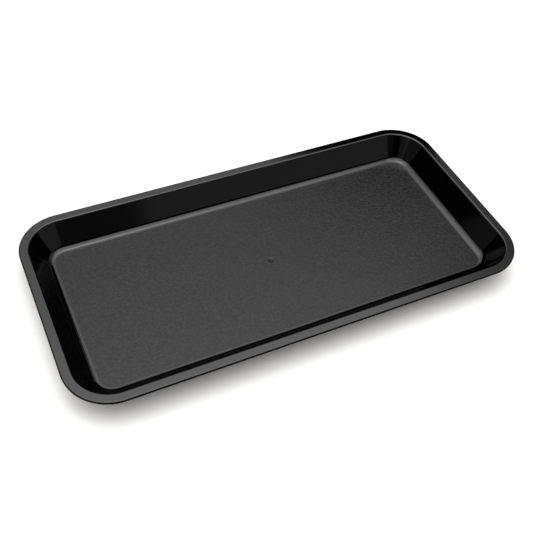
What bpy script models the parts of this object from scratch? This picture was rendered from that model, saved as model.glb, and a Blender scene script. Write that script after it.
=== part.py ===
"""Shallow rectangular tray for loading a small paint roller or pad, moulded in one shot of black styrene.

Sizes are in metres, +Z up. The origin is the middle of the underside, on the surface the tray stands on.
The tray is a single moulding: rim, flared walls, fillet and floor are one even wall of plastic.
"""

import math

import bmesh
import bpy

# Outer size of the rim, along its two long and its two short sides.
LENGTH = 0.400
WIDTH = 0.2006
CORNER_RADIUS = 0.0384
CORNER_STEPS = 12

# The moulding's section from the rim's outer edge to the floor: level runs and the depth below the rim.
RIM_RUN = 0.0080
WALL_RUN = 0.0143
FLOOR_DEPTH = 0.0208
PLASTIC = 0.0018

# Distances from each corner of the section to where its rounding starts.
FILLET_REACH = 0.0040
FILLET_STEPS = 6
EDGE_REACH = 0.0004
EDGE_STEPS = 2
ROUNDED_ABOVE = math.radians(35.0)

# The scar where the plastic entered the mould: a shallow dished ring around a low button.
GATE_RADIUS = 0.0032
GATE_DEPTH = 0.0002
GATE_BUTTON_RADIUS = 0.0009
GATE_STEPS = 32
CUTTER_HEADROOM = 0.002

RIM_HEIGHT = FLOOR_DEPTH + PLASTIC
MOST_MERGE = 0.00005
SMOOTH_BELOW = math.radians(30.0)


def clear_scene():
    for obj in list(bpy.data.objects):
        bpy.data.objects.remove(obj, do_unlink=True)


def new_collection(name, hidden=False):
    collection = bpy.data.collections.new(name)
    collection.hide_render = hidden
    bpy.context.scene.collection.children.link(collection)
    return collection


def styrene():
    """Black impact-grade polystyrene, satin to glossy as it leaves a steel mould."""
    material = bpy.data.materials.new("black_moulded_polystyrene")
    material.use_nodes = True
    shader = material.node_tree.nodes["Principled BSDF"]
    shader.inputs["Base Color"].default_value = (0.012, 0.012, 0.012, 1.0)
    shader.inputs["Roughness"].default_value = 0.35
    shader.inputs["Metallic"].default_value = 0.0
    return material


def rim_outline(mesh):
    """One level face at rim height, with the rim's outline and its four rounded corners."""
    bmesh.ops.create_grid(mesh, x_segments=1, y_segments=1, size=0.5)
    bmesh.ops.scale(mesh, verts=mesh.verts, vec=(LENGTH, WIDTH, 1.0))
    bmesh.ops.translate(mesh, verts=mesh.verts, vec=(0.0, 0.0, RIM_HEIGHT))
    bmesh.ops.bevel(
        mesh,
        geom=list(mesh.verts),
        offset=CORNER_RADIUS,
        segments=CORNER_STEPS,
        profile=0.5,
        affect="VERTICES",
    )
    return next(iter(mesh.faces))


def step_in(mesh, inner, run, drop):
    """Move the inner face's outline in by run and sink it by drop, leaving a band around it."""
    bmesh.ops.inset_region(
        mesh, faces=[inner], thickness=run, use_boundary=True, use_even_offset=True
    )
    bmesh.ops.translate(mesh, verts=list(inner.verts), vec=(0.0, 0.0, -drop))


def upper_skin():
    """The upper surface with crisp corners: level rim, flared wall and level floor."""
    mesh = bmesh.new()
    floor = rim_outline(mesh)
    step_in(mesh, floor, RIM_RUN, 0.0)
    step_in(mesh, floor, WALL_RUN, FLOOR_DEPTH)
    weight = mesh.edges.layers.float.new("bevel_weight_edge")
    for edge in floor.edges:
        edge[weight] = 1.0
    data = bpy.data.meshes.new("tray")
    mesh.to_mesh(data)
    mesh.free()
    return data


def gate_cutter(collection):
    """A turned solid that cuts the gate scar's dished ring and leaves its button standing."""
    profile = (
        (0.0, PLASTIC + CUTTER_HEADROOM),
        (GATE_RADIUS, PLASTIC + CUTTER_HEADROOM),
        (GATE_RADIUS, PLASTIC),
        (GATE_RADIUS * 0.8, PLASTIC - GATE_DEPTH),
        (GATE_BUTTON_RADIUS * 1.2, PLASTIC - GATE_DEPTH),
        (GATE_BUTTON_RADIUS, PLASTIC - GATE_DEPTH * 0.2),
        (0.0, PLASTIC - GATE_DEPTH * 0.1),
    )
    points = [(radius, 0.0, height) for radius, height in profile]
    links = [(index, index + 1) for index in range(len(profile) - 1)]
    data = bpy.data.meshes.new("gate_cutter")
    data.from_pydata(points, links, [])
    cutter = bpy.data.objects.new("gate_cutter", data)
    turn = cutter.modifiers.new("turn", "SCREW")
    turn.steps = GATE_STEPS
    turn.render_steps = GATE_STEPS
    turn.use_merge_vertices = True
    turn.merge_threshold = MOST_MERGE
    cutter.display_type = "WIRE"
    cutter.hide_render = True
    collection.objects.link(cutter)
    return cutter


def make_tray(parts, cutters):
    """The moulding: an even wall of plastic under the upper skin, its corners rounded, the gate cut in."""
    tray = bpy.data.objects.new("tray", upper_skin())
    tray.data.materials.append(styrene())
    parts.objects.link(tray)

    wall = tray.modifiers.new("wall", "SOLIDIFY")
    wall.thickness = PLASTIC
    wall.offset = -1.0
    wall.solidify_mode = "NON_MANIFOLD"
    wall.nonmanifold_thickness_mode = "CONSTRAINTS"

    fillet = tray.modifiers.new("floor_fillet", "BEVEL")
    fillet.limit_method = "WEIGHT"
    fillet.width = FILLET_REACH
    fillet.segments = FILLET_STEPS

    rounding = tray.modifiers.new("rim_rounding", "BEVEL")
    rounding.limit_method = "ANGLE"
    rounding.angle_limit = ROUNDED_ABOVE
    rounding.width = EDGE_REACH
    rounding.segments = EDGE_STEPS

    gate = tray.modifiers.new("gate", "BOOLEAN")
    gate.operation = "DIFFERENCE"
    gate.solver = "EXACT"
    gate.object = gate_cutter(cutters)

    tray.data.shade_smooth()
    tray.data.set_sharp_from_angle(angle=SMOOTH_BELOW)


clear_scene()
make_tray(new_collection("paint_tray"), new_collection("cutters", hidden=True))
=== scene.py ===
import math

import bmesh
import bpy
from mathutils import Matrix, Vector


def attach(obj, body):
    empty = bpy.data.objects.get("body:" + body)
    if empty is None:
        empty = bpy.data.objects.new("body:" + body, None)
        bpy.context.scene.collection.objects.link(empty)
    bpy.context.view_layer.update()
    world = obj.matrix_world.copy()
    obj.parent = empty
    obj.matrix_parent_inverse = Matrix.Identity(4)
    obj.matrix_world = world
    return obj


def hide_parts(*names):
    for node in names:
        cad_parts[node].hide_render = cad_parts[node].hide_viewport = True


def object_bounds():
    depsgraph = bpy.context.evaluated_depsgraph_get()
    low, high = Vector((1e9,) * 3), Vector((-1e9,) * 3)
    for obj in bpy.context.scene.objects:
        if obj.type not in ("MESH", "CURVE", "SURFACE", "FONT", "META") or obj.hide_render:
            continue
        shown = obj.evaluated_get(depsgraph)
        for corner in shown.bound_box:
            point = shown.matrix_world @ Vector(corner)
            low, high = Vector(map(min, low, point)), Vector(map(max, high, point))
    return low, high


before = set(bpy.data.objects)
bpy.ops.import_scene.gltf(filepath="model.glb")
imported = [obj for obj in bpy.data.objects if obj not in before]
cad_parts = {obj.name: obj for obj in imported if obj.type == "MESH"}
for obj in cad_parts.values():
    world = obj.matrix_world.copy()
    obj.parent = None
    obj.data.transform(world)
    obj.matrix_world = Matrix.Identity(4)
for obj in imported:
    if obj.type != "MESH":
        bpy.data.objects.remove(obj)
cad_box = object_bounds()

# The moulding's section: a flat rim, a wall flaring out at about 55 degrees, a fillet and the floor, in one
# even thickness of black polystyrene. The steel mould gives it crisp but never sharp corners, so every turn
# of the section has its own radius.
MM = 0.001
LENGTH = cad_box[1].x - cad_box[0].x
WIDTH = cad_box[1].y - cad_box[0].y
HEIGHT = cad_box[1].z
CORNER_RADIUS = 38.4 * MM
PLASTIC = 1.81 * MM
FLOOR_HEIGHT = PLASTIC
RIM_RUN = 8.0 * MM
WALL_RUN = 14.3 * MM
FLOOR_MARGIN = 0.6 * MM
RIM_EDGE_RADIUS = 1.35 * MM
RIM_LOWER_RADIUS = 0.3 * MM
ROLL_RADIUS = 2.0 * MM
LEDGE_RADIUS = 0.6 * MM
FILLET_RADIUS = 7.6 * MM
ARC_STEP = math.radians(5.0)

wall_lean = math.atan2(HEIGHT - FLOOR_HEIGHT, WALL_RUN)
fillet_reach = FILLET_RADIUS * math.tan(wall_lean / 2)
under_shift = PLASTIC * math.tan(wall_lean / 2)
floor_inset = RIM_RUN + WALL_RUN
band_inset = floor_inset + fillet_reach + FLOOR_MARGIN


def rounded(corners):
    """The points of a line through (across, up, radius) corners, each turned on an arc of its radius."""
    points = [Vector(corners[0][:2])]
    for before, corner, after in zip(corners, corners[1:], corners[2:]):
        here = Vector(corner[:2])
        back = (Vector(before[:2]) - here).normalized()
        ahead = (Vector(after[:2]) - here).normalized()
        turn = math.pi - back.angle(ahead)
        reach = corner[2] * math.tan(turn / 2)
        start = here + back * reach
        centre = here + (back + ahead).normalized() * corner[2] / math.cos(turn / 2)
        sweep = turn if back.x * ahead.y - back.y * ahead.x < 0 else -turn
        steps = max(2, round(turn / ARC_STEP))
        for step in range(steps + 1):
            points.append(centre + Matrix.Rotation(sweep * step / steps, 2) @ (start - centre))
    points.append(Vector(corners[-1][:2]))
    return points


def section_curve(name, points):
    """A section as a line that Curve to Mesh sweeps: x is towards the middle, y is height."""
    curve = bpy.data.curves.new(name, "CURVE")
    spline = curve.splines.new("POLY")
    spline.points.add(len(points) - 1)
    for target, (across, up) in zip(spline.points, points):
        target.co = (-across, -up, 0.0, 1.0)
    section = bpy.data.objects.new(name, curve)
    bpy.context.scene.collection.objects.link(section)
    return section


wall_section = section_curve(
    "wall_section",
    rounded(
        [
            (band_inset, FLOOR_HEIGHT),
            (floor_inset, FLOOR_HEIGHT, FILLET_RADIUS),
            (RIM_RUN, HEIGHT, ROLL_RADIUS),
            (0.0, HEIGHT, RIM_EDGE_RADIUS),
            (0.0, HEIGHT - PLASTIC, RIM_LOWER_RADIUS),
            (RIM_RUN - under_shift, HEIGHT - PLASTIC, LEDGE_RADIUS),
            (floor_inset - under_shift, 0.0, FILLET_RADIUS + PLASTIC),
            (band_inset, 0.0),
        ]
    ),
)

# The gate scar: molten plastic enters at the middle of the floor, and its stub is snapped off. It leaves a
# shallow dish a few millimetres across with a low nub in it, so that the nub stays below the floor.
GATE_RADIUS = 3.2 * MM
GATE_DEPTH = 0.20 * MM
DISH_LIP = 0.3 * MM
DISH_LIP_RADIUS = 1.0 * MM
DISH_LEVEL = 0.7 * MM
DISH_FOOT_RADIUS = 2.0 * MM
NUB_RADIUS = 0.9 * MM
NUB_RISE = 0.12 * MM
NUB_FOOT_RADIUS = 0.3 * MM
NUB_TOP_RADIUS = 0.4 * MM

dish_height = FLOOR_HEIGHT - GATE_DEPTH
nub_height = dish_height + NUB_RISE
gate_section = section_curve(
    "gate_section",
    rounded(
        [
            (0.0, FLOOR_HEIGHT),
            (DISH_LIP, FLOOR_HEIGHT, DISH_LIP_RADIUS),
            (GATE_RADIUS - NUB_RADIUS - DISH_LEVEL, dish_height, DISH_FOOT_RADIUS),
            (GATE_RADIUS - NUB_RADIUS, dish_height, NUB_FOOT_RADIUS),
            (GATE_RADIUS - NUB_RADIUS / 2, nub_height, NUB_TOP_RADIUS),
            (GATE_RADIUS, nub_height),
        ]
    ),
)

# The ejector marks: eight steel pins push the cooled tray out of the mould, and each leaves a faint round
# dent in the underside, a tenth of a millimetre deep.
PIN_RADIUS = 4.0 * MM
PIN_DEPTH = 0.12 * MM
PIN_EDGE = 0.15 * MM
PIN_COLUMNS = 4
PIN_ROWS = 2
PIN_SPREAD = (270.0 * MM, 96.0 * MM)

pin_section = section_curve(
    "pin_section",
    [(0.0, 0.0), (PIN_EDGE, PIN_DEPTH), (PIN_RADIUS, PIN_DEPTH)],
)

# The finishes. Everything is the same black impact polystyrene (refractive index 1.59); only the steel that
# shaped each area differs, so the colour stays one near-black, apart from the floor's painted glints, and the
# roughness changes.
STYRENE_IOR = 1.59
NEAR_BLACK = "#030303"
GRAIN_DETAIL = 2.0
GRAIN_ROUGHNESS = 0.6
GRAIN_PEAKS = (0.42, 0.62)
GRAIN_RANGE = (0.3, 0.7)


def linear(hex_colour):
    """An sRGB hex colour as the linear colour that a shader takes."""
    parts = [int(hex_colour[place : place + 2], 16) / 255 for place in (1, 3, 5)]
    bright = [part / 12.92 if part <= 0.04045 else ((part + 0.055) / 1.055) ** 2.4 for part in parts]
    return bright + [1.0]


def add(tree, kind, inputs=(), **settings):
    """Adds a node to tree with its settings. Each input gets a value, a link, or a tuple of links."""
    made = tree.nodes.new(kind)
    for name, value in settings.items():
        setattr(made, name, value)
    for name, value in dict(inputs).items():
        if isinstance(value, bpy.types.NodeSocket):
            tree.links.new(value, made.inputs[name])
        elif isinstance(value, tuple) and isinstance(value[0], bpy.types.NodeSocket):
            for socket in reversed(value):
                tree.links.new(socket, made.inputs[name])
        else:
            made.inputs[name].default_value = value
    return made


def moulded_styrene(
    name, roughness, mottle, grain_size, grain_height, shine=0.5, dull=NEAR_BLACK, painted_glint=NEAR_BLACK
):
    """Black polystyrene with a grain of that size and height, whose peaks are painted lighter, up to
    painted_glint, a painted glint.
    """
    material = bpy.data.materials.new(name)
    material.use_nodes = True
    tree = material.node_tree
    shader = tree.nodes["Principled BSDF"]
    shader.inputs["IOR"].default_value = STYRENE_IOR
    shader.inputs["Specular IOR Level"].default_value = shine
    place = add(tree, "ShaderNodeTexCoord").outputs["Object"]
    grain = add(
        tree,
        "ShaderNodeTexNoise",
        {"Vector": place, "Scale": 1.0 / grain_size, "Detail": GRAIN_DETAIL, "Roughness": GRAIN_ROUGHNESS},
    ).outputs["Fac"]
    peaks = add(
        tree, "ShaderNodeMapRange", {"Value": grain, "From Min": GRAIN_PEAKS[0], "From Max": GRAIN_PEAKS[1]}
    ).outputs["Result"]
    # A colour Mix node has its two colours at inputs 6 and 7, and its result at output 2.
    # Where the glint colour is lighter than dull, the grain's peaks carry a painted glint.
    colour = add(
        tree, "ShaderNodeMix", {"Factor": peaks, 6: linear(dull), 7: linear(painted_glint)}, data_type="RGBA"
    ).outputs[2]
    rough = add(
        tree,
        "ShaderNodeMapRange",
        {"Value": grain, "From Min": GRAIN_RANGE[0], "From Max": GRAIN_RANGE[1],
         "To Min": roughness - mottle, "To Max": roughness + mottle},
    ).outputs["Result"]
    bump = add(
        tree, "ShaderNodeBump", {"Height": grain, "Distance": grain_height, "Strength": 1.0}
    ).outputs["Normal"]
    tree.links.new(colour, shader.inputs["Base Color"])
    tree.links.new(rough, shader.inputs["Roughness"])
    tree.links.new(bump, shader.inputs["Normal"])
    return material


# The steel behind the walls is polished, so they mirror the studio, with a faint waviness from cooling.
polished = moulded_styrene("polystyrene_polished_wall", 0.06, 0.01, 6.0 * MM, 0.002 * MM)
# The rim, its rolled edges and the fillet come off buffed steel, as glossy as the walls, with a finer skin.
buffed = moulded_styrene("polystyrene_buffed_rim", 0.05, 0.01, 0.5 * MM, 0.001 * MM)
# The floor is spark-eroded, a fine sparkling grain that dulls it to dark grey. A real grain is well under a
# millimetre and too fine to show, so it is drawn coarser, and its peaks are painted lighter, painted glints
# for its sparkle.
eroded = moulded_styrene(
    "polystyrene_spark_eroded_floor",
    0.19,
    0.05,
    2.3 * MM,
    0.07 * MM,
    shine=0.29,
    dull="#040404",
    # A painted glint: the grain's peaks are lighter than the floor's own near-black.
    painted_glint="#1b1b1b",
)
# The underside comes off plain machined steel, which leaves it satin.
underside = moulded_styrene("polystyrene_satin_underside", 0.33, 0.03, 0.8 * MM, 0.01 * MM)

# The tray itself, one shot of plastic. The section runs round a rounded rectangle, and the floor and the
# base close it inside and out, with the gate scar let into one and the ejector marks into the other.
CORNER_STEPS = 40
ROUND_STEPS = 40
WELD = 0.004 * MM
LEANING = 0.05
MORE_THAN_ONE = 1.5
SHARP_ANGLE = math.radians(40.0)
LARGEST_FACES_LEAD = 100

tree = bpy.data.node_groups.new("tray_moulding", "GeometryNodeTree")
for name, kind in (
    ("Length", "NodeSocketFloat"),
    ("Width", "NodeSocketFloat"),
    ("Corner radius", "NodeSocketFloat"),
    ("Floor height", "NodeSocketFloat"),
    ("Polish starts", "NodeSocketFloat"),
    ("Polish ends", "NodeSocketFloat"),
    ("Gate radius", "NodeSocketFloat"),
    ("Pin radius", "NodeSocketFloat"),
    ("Pin rows' length", "NodeSocketFloat"),
    ("Pin columns' length", "NodeSocketFloat"),
    ("Pin columns", "NodeSocketInt"),
    ("Pin rows", "NodeSocketInt"),
    ("Wall section", "NodeSocketObject"),
    ("Gate section", "NodeSocketObject"),
    ("Pin section", "NodeSocketObject"),
):
    tree.interface.new_socket(name, in_out="INPUT", socket_type=kind)
tree.interface.new_socket("Tray", in_out="OUTPUT", socket_type="NodeSocketGeometry")
sizes = tree.nodes.new("NodeGroupInput").outputs
place = add(tree, "GeometryNodeInputPosition").outputs["Position"]
up = add(tree, "ShaderNodeSeparateXYZ", {"Vector": place}).outputs["Z"]
facing = add(tree, "GeometryNodeInputNormal").outputs["Normal"]
facing_up = add(tree, "ShaderNodeSeparateXYZ", {"Vector": facing}).outputs["Z"]


def swept(path, section):
    """The section object's line run round a level path."""
    profile = add(tree, "GeometryNodeObjectInfo", {"Object": section}).outputs["Geometry"]
    level = add(tree, "GeometryNodeSetCurveNormal", {"Curve": path}, mode="Z_UP").outputs["Curve"]
    return add(
        tree, "GeometryNodeCurveToMesh", {"Curve": level, "Profile Curve": profile}
    ).outputs["Mesh"]


def filled(loops, height):
    """A level face between an outer loop and the loops inside it."""
    face = add(tree, "GeometryNodeFillCurve", {"Curve": loops}, mode="TRIANGLES").outputs["Mesh"]
    lift = add(tree, "ShaderNodeCombineXYZ", {"Z": height}).outputs["Vector"]
    return add(
        tree, "GeometryNodeTransform", {"Geometry": face, "Translation": lift}
    ).outputs["Geometry"]


outline = add(
    tree,
    "GeometryNodeFilletCurve",
    {
        "Curve": add(
            tree,
            "GeometryNodeCurvePrimitiveQuadrilateral",
            {"Width": sizes["Length"], "Height": sizes["Width"]},
        ).outputs["Curve"],
        "Radius": sizes["Corner radius"],
        "Count": CORNER_STEPS,
    },
    mode="POLY",
).outputs["Curve"]
band = swept(outline, sizes["Wall section"])
gate_rim, pin_rim = (
    add(
        tree, "GeometryNodeCurvePrimitiveCircle", {"Resolution": ROUND_STEPS, "Radius": radius}
    ).outputs["Curve"]
    for radius in (sizes["Gate radius"], sizes["Pin radius"])
)

# An edge of the band that has only one face is either the floor's outline or, lower down, the base's.
faces_there = add(tree, "GeometryNodeInputMeshEdgeNeighbors").outputs["Face Count"]
half_floor = add(
    tree, "ShaderNodeMath", {0: sizes["Floor height"], 1: 0.5}, operation="MULTIPLY"
).outputs[0]
is_open, is_upper, is_lower, is_above_fillet, is_below_roll, leans_up, leans_down = (
    add(tree, "FunctionNodeCompare", {"A": value, "B": limit}, operation=operation).outputs[0]
    for value, operation, limit in (
        (faces_there, "LESS_THAN", MORE_THAN_ONE),
        (up, "GREATER_THAN", half_floor),
        (up, "LESS_THAN", half_floor),
        (up, "GREATER_THAN", sizes["Polish starts"]),
        (up, "LESS_THAN", sizes["Polish ends"]),
        (facing_up, "GREATER_THAN", LEANING),
        (facing_up, "LESS_THAN", -LEANING),
    )
)
upper_edge, lower_edge, is_wall_height = (
    add(tree, "FunctionNodeBooleanMath", {0: first, 1: second}, operation="AND").outputs[0]
    for first, second in ((is_open, is_upper), (is_open, is_lower), (is_above_fillet, is_below_roll))
)
is_polished = add(
    tree, "FunctionNodeBooleanMath", {0: leans_up, 1: is_wall_height}, operation="AND"
).outputs[0]
floor_loop, base_loop = (
    add(tree, "GeometryNodeMeshToCurve", {"Mesh": band, "Selection": edge}).outputs["Curve"]
    for edge in (upper_edge, lower_edge)
)
for finish, where in ((buffed, True), (polished, is_polished), (underside, leans_down)):
    band = add(
        tree, "GeometryNodeSetMaterial", {"Geometry": band, "Selection": where, "Material": finish}
    ).outputs["Geometry"]

floor_loops = add(tree, "GeometryNodeJoinGeometry", {"Geometry": (floor_loop, gate_rim)}).outputs["Geometry"]
floor, gate = (
    add(tree, "GeometryNodeSetMaterial", {"Geometry": part, "Material": eroded}).outputs["Geometry"]
    for part in (filled(floor_loops, sizes["Floor height"]), swept(gate_rim, sizes["Gate section"]))
)

pin_spots = add(
    tree,
    "GeometryNodeMeshGrid",
    {
        "Size X": sizes["Pin rows' length"],
        "Size Y": sizes["Pin columns' length"],
        "Vertices X": sizes["Pin columns"],
        "Vertices Y": sizes["Pin rows"],
    },
).outputs["Mesh"]


def at_pins(part):
    """The part repeated at each ejector pin."""
    placed = add(tree, "GeometryNodeInstanceOnPoints", {"Points": pin_spots, "Instance": part})
    return add(
        tree, "GeometryNodeRealizeInstances", {"Geometry": placed.outputs["Instances"]}
    ).outputs["Geometry"]


base_loops = add(
    tree, "GeometryNodeJoinGeometry", {"Geometry": (base_loop, at_pins(pin_rim))}
).outputs["Geometry"]
base = add(
    tree,
    "GeometryNodeJoinGeometry",
    {"Geometry": (filled(base_loops, 0.0), at_pins(swept(pin_rim, sizes["Pin section"])))},
).outputs["Geometry"]
base = add(
    tree, "GeometryNodeSetMaterial", {"Geometry": base, "Material": underside}
).outputs["Geometry"]
whole = add(tree, "GeometryNodeJoinGeometry", {"Geometry": (band, floor, gate, base)}).outputs["Geometry"]
welded = add(
    tree, "GeometryNodeMergeByDistance", {"Geometry": whole, "Distance": WELD}
).outputs["Geometry"]
realised = add(tree, "GeometryNodeRealizeInstances", {"Geometry": welded}).outputs["Geometry"]
tree.links.new(realised, tree.nodes.new("NodeGroupOutput").inputs["Tray"])

values = {
    "Length": LENGTH,
    "Width": WIDTH,
    "Corner radius": CORNER_RADIUS,
    "Floor height": FLOOR_HEIGHT,
    "Polish starts": FLOOR_HEIGHT + FILLET_RADIUS * (1 - math.cos(wall_lean)),
    "Polish ends": HEIGHT - ROLL_RADIUS * (1 - math.cos(wall_lean)),
    "Gate radius": GATE_RADIUS,
    "Pin radius": PIN_RADIUS,
    "Pin rows' length": PIN_SPREAD[0],
    "Pin columns' length": PIN_SPREAD[1],
    "Pin columns": PIN_COLUMNS,
    "Pin rows": PIN_ROWS,
    "Wall section": wall_section,
    "Gate section": gate_section,
    "Pin section": pin_section,
}
blank = bpy.data.objects.new("blank", bpy.data.meshes.new("blank"))
bpy.context.scene.collection.objects.link(blank)
shaping = blank.modifiers.new("shape", "NODES")
shaping.node_group = tree
for item in tree.interface.items_tree:
    if item.in_out == "INPUT":
        shaping[item.identifier] = values[item.name]
graph = bpy.context.evaluated_depsgraph_get()
mesh = bpy.data.meshes.new_from_object(blank.evaluated_get(graph), depsgraph=graph)
for spent in (blank, wall_section, gate_section, pin_section):
    bpy.data.objects.remove(spent)

# The welded strips get their faces turned outwards, and the last material slot, which is empty, is dropped.
solid = bmesh.new()
solid.from_mesh(mesh)
bmesh.ops.recalc_face_normals(solid, faces=solid.faces)
solid.to_mesh(mesh)
solid.free()
mesh.materials.pop(index=len(mesh.materials) - 1)
mesh.shade_smooth()
mesh.set_sharp_from_angle(angle=SHARP_ANGLE)

tray = bpy.data.objects.new("tray_moulding", mesh)
bpy.context.scene.collection.objects.link(tray)
even_shading = tray.modifiers.new("even_shading", "WEIGHTED_NORMAL")
even_shading.keep_sharp = True
even_shading.weight = LARGEST_FACES_LEAD
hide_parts("tray")
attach(tray, "root")

# The surface the tray stands on: plain matte board, a warm white that shows in the shade. It is dark to
# reflections, so that the rim's outer edge stays a dark line, and open from below.
BOARD_SIZE = 8.0
BOARD_DROP = 0.1 * MM
BOARD_ROUGHNESS = 0.9
board = bpy.data.meshes.new("studio_floor")
signs = ((-1, -1), (1, -1), (1, 1), (-1, 1))
board.from_pydata(
    [(x * BOARD_SIZE / 2, y * BOARD_SIZE / 2, -BOARD_DROP) for x, y in signs],
    [],
    [(0, 1, 2, 3)],
)
white = bpy.data.materials.new("matte_white_board")
white.use_nodes = True
matte = white.node_tree
# In reflections the board takes a painted dark grey, a painted shade that keeps the rim's outer edge a dark
# line.
in_reflection = add(matte, "ShaderNodeLightPath").outputs["Is Glossy Ray"]
tone_with_painted_dark_reflection = add(
    matte,
    "ShaderNodeMix",
    {"Factor": in_reflection, 6: linear("#f4f2ee"), 7: linear("#303030")},
    data_type="RGBA",
).outputs[2]
card = matte.nodes["Principled BSDF"]
card.inputs["Roughness"].default_value = BOARD_ROUGHNESS
card.inputs["Specular IOR Level"].default_value = 0.0
matte.links.new(tone_with_painted_dark_reflection, card.inputs["Base Color"])
one_sided = add(
    matte,
    "ShaderNodeMixShader",
    {
        0: add(matte, "ShaderNodeNewGeometry").outputs["Backfacing"],
        1: card.outputs[0],
        2: add(matte, "ShaderNodeBsdfTransparent").outputs[0],
    },
)
matte.links.new(one_sided.outputs[0], matte.nodes["Material Output"].inputs["Surface"])
board.materials.append(white)
studio_floor = bpy.data.objects.new("studio_floor", board)
bpy.context.scene.collection.objects.link(studio_floor)

# The light: a wide soft box hangs over the tray and leans back behind it, with a bright core, and is shaded
# at its far right. Dim reflectors stand to the front right, in front and to the left, under a faint fill, and
# the rest of the studio is dark. Each is a patch of the sky, placed by its direction from the tray.
DIFFUSE_BOOST = 0.4
DIFFUSE_FILL = 0.7

world = bpy.data.worlds.new("studio")
bpy.context.scene.world = world
world.use_nodes = True
sky = world.node_tree
heading = add(sky, "ShaderNodeTexCoord").outputs["Generated"]
sky_x, sky_y, sky_z = add(sky, "ShaderNodeSeparateXYZ", {"Vector": heading}).outputs

# Angles in degrees: over the tray from back to front, sideways to the right, the bearing clockwise from
# straight behind, the height above level, and how far the bearing is turned from behind either way.
over, sideways, bearing, height = (
    add(
        sky,
        "ShaderNodeMath",
        {0: add(sky, "ShaderNodeMath", {0: first, 1: second}, operation=operation).outputs[0]},
        operation="DEGREES",
    ).outputs[0]
    for operation, first, second in (
        ("ARCTAN2", sky_z, sky_y),
        ("ARCSINE", sky_x, 0.0),
        ("ARCTAN2", sky_x, sky_y),
        ("ARCSINE", sky_z, 0.0),
    )
)
turned = add(sky, "ShaderNodeMath", {0: bearing}, operation="ABSOLUTE").outputs[0]


def patch(strength, spans, fades=()):
    """A patch of the sky, within (angle, start, end, softness) spans. A fade (angle, start, end, low, high)
    eases its strength from low to high as the angle goes from start to end."""
    eases = list(fades)
    for angle, start, end, soft in spans:
        eases.append((angle, start - soft, start + soft, 0.0, 1.0))
        eases.append((angle, end + soft, end - soft, 0.0, 1.0))
    total = strength
    for angle, start, end, low, high in eases:
        eased = add(
            sky,
            "ShaderNodeMapRange",
            {"Value": angle, "From Min": start, "From Max": end, "To Min": low, "To Max": high},
            interpolation_type="SMOOTHSTEP",
        ).outputs["Result"]
        total = add(sky, "ShaderNodeMath", {0: eased, 1: total}, operation="MULTIPLY").outputs[0]
    return total


soft_box = patch(
    1.0,
    [(over, 40.0, 120.0, 3.0), (sideways, -44.0, 62.0, 6.0)],
    [
        (over, 42.0, 72.0, 1.15, 2.8),
        (over, 74.0, 114.0, 1.0, 0.64),
        (sideways, -4.0, -40.0, 1.0, 0.6),
        (sideways, 10.0, 50.0, 1.0, 0.72),
    ],
)
core = patch(1.7, [(sideways, -6.0, 12.0, 7.0), (over, 65.0, 81.0, 6.0)])
shades = [
    patch(0.5, [], [(bearing, 20.0, 44.0, 0.0, 1.0), (height, 51.0, 41.0, 0.0, 1.0)]),
    patch(0.55, [], [(bearing, 43.0, 53.0, 0.0, 1.0), (height, 65.0, 52.0, 0.0, 1.0)]),
    patch(1.0, [(bearing, 28.0, 43.0, 1.5)], [(height, 41.5, 39.5, 0.0, 1.0)]),
]
front_right_reflector = patch(0.20, [(bearing, 112.0, 168.0, 1.0), (height, 4.0, 34.0, 1.0)])
front_reflector = patch(0.05, [(turned, 168.0, 181.0, 1.0), (height, 4.0, 34.0, 1.0)])
left_reflector = patch(0.09, [(bearing, -118.0, -58.7, 0.4), (height, 4.0, 30.0, 1.0)])
fill = patch(0.12, [(over, 121.0, 142.0, 2.0), (sideways, -60.0, -5.0, 4.0)])

shown = add(sky, "ShaderNodeMath", {0: soft_box, 1: core}, operation="ADD").outputs[0]
for shade in shades:
    lit = add(sky, "ShaderNodeMath", {0: 1.0, 1: shade}, operation="SUBTRACT").outputs[0]
    shown = add(sky, "ShaderNodeMath", {0: shown, 1: lit}, operation="MULTIPLY").outputs[0]
for light in (front_right_reflector, front_reflector, left_reflector, fill):
    shown = add(sky, "ShaderNodeMath", {0: shown, 1: light}, operation="ADD").outputs[0]

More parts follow.
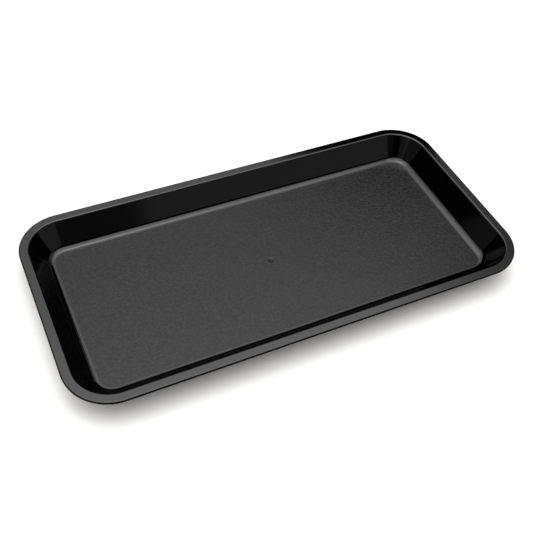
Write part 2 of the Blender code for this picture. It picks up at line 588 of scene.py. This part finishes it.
# The board gets more light than the reflections show, as if the studio's own walls were pale, and what shows
# behind it is plain white.
ray = add(sky, "ShaderNodeLightPath").outputs
boost = add(
    sky, "ShaderNodeMath", {0: ray["Is Diffuse Ray"], 1: DIFFUSE_BOOST, 2: 1.0}, operation="MULTIPLY_ADD"
).outputs[0]
spill = add(
    sky, "ShaderNodeMath", {0: ray["Is Diffuse Ray"], 1: DIFFUSE_FILL}, operation="MULTIPLY"
).outputs[0]
shown = add(sky, "ShaderNodeMath", {0: shown, 1: boost, 2: spill}, operation="MULTIPLY_ADD").outputs[0]
strength = add(
    sky, "ShaderNodeMath", {0: shown, 1: ray["Is Camera Ray"]}, operation="MAXIMUM"
).outputs[0]
sky.nodes["Background"].inputs["Color"].default_value = (1.0, 1.0, 1.0, 1.0)
sky.links.new(strength, sky.nodes["Background"].inputs["Strength"])

# The camera: a three-quarter view from the near left, looking down at 48 degrees through a lens a little
# longer than normal, and rolled 5 degrees so that the tray rises to the right.
AZIMUTH = math.radians(-28.49)
ELEVATION = math.radians(48.41)
ROLL = math.radians(5.04)
DISTANCE = 0.6596
AIM = Vector((-0.0159, -0.0218, HEIGHT))
SENSOR = 36.0
LENS = 53.70

backward = Vector(
    (
        math.sin(AZIMUTH) * math.cos(ELEVATION),
        -math.cos(AZIMUTH) * math.cos(ELEVATION),
        math.sin(ELEVATION),
    )
)
level_right = Vector((math.cos(AZIMUTH), math.sin(AZIMUTH), 0.0))
level_up = backward.cross(level_right)
right = level_right * math.cos(ROLL) + level_up * math.sin(ROLL)
upward = level_up * math.cos(ROLL) - level_right * math.sin(ROLL)
lens = bpy.data.cameras.new("camera")
lens.lens = LENS
lens.sensor_width = SENSOR
camera = bpy.data.objects.new("camera", lens)
bpy.context.scene.collection.objects.link(camera)
facing_tray = Matrix((right, upward, backward)).transposed().to_4x4()
camera.matrix_world = Matrix.Translation(AIM + backward * DISTANCE) @ facing_tray
bpy.context.scene.camera = camera
bpy.context.scene.view_settings.view_transform = "Standard"
